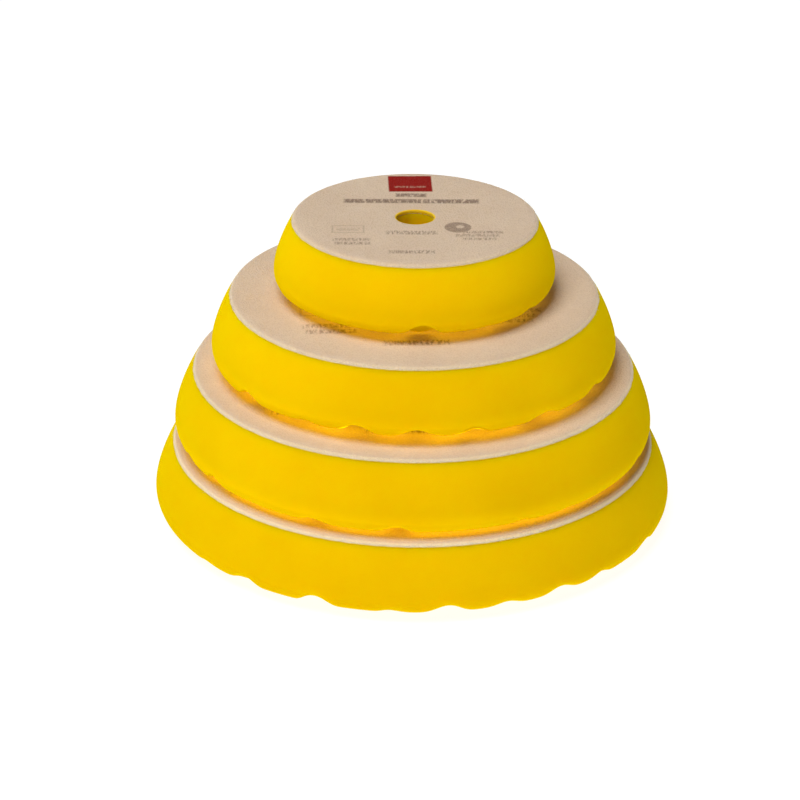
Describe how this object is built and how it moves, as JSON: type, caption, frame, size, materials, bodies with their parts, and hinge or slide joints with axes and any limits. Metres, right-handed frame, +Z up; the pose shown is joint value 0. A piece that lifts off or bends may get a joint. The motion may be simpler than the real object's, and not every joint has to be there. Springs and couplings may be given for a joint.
{
  "type": "polishing pad set",
  "caption": "Stack of round foam polishing pads in graded sizes, each with tapered sides, a waffle cut working face, a centre hole and a loop fabric backing.",
  "frame": {"origin": "middle of the stack's footprint, on the plane the largest pad's working face rests on", "axes": "+Z up along the common axis of the pads, from the largest pad's working face to the smallest pad's loop face; -Y towards the viewer, +X to the viewer's right"},
  "size_m": [0.195, 0.195, 0.1163],
  "materials": {
    "polishing_foam": "matte open cell polyurethane foam, golden yellow",
    "adhesive": "thin translucent adhesive film",
    "loop_fabric": "brushed loop pile, cream"
  },
  "bodies": {
    "pad_extra_large": {"foam_disc_extra_large": "polishing_foam", "adhesive_film_extra_large": "adhesive", "loop_backing_extra_large": "loop_fabric"},
    "pad_large": {"foam_disc_large": "polishing_foam", "adhesive_film_large": "adhesive", "loop_backing_large": "loop_fabric"},
    "pad_medium": {"foam_disc_medium": "polishing_foam", "adhesive_film_medium": "adhesive", "loop_backing_medium": "loop_fabric"},
    "pad_small": {"foam_disc_small": "polishing_foam", "adhesive_film_small": "adhesive", "loop_backing_small": "loop_fabric"}
  },
  "joints": [
    {"name": "lift_off_large", "type": "slide", "parent": "pad_extra_large", "child": "pad_large", "axis": [0, 0, 1], "range_m": [0, 0.08]},
    {"name": "lift_off_medium", "type": "slide", "parent": "pad_large", "child": "pad_medium", "axis": [0, 0, 1], "range_m": [0, 0.08]},
    {"name": "lift_off_small", "type": "slide", "parent": "pad_medium", "child": "pad_small", "axis": [0, 0, 1], "range_m": [0, 0.08]}
  ]
}
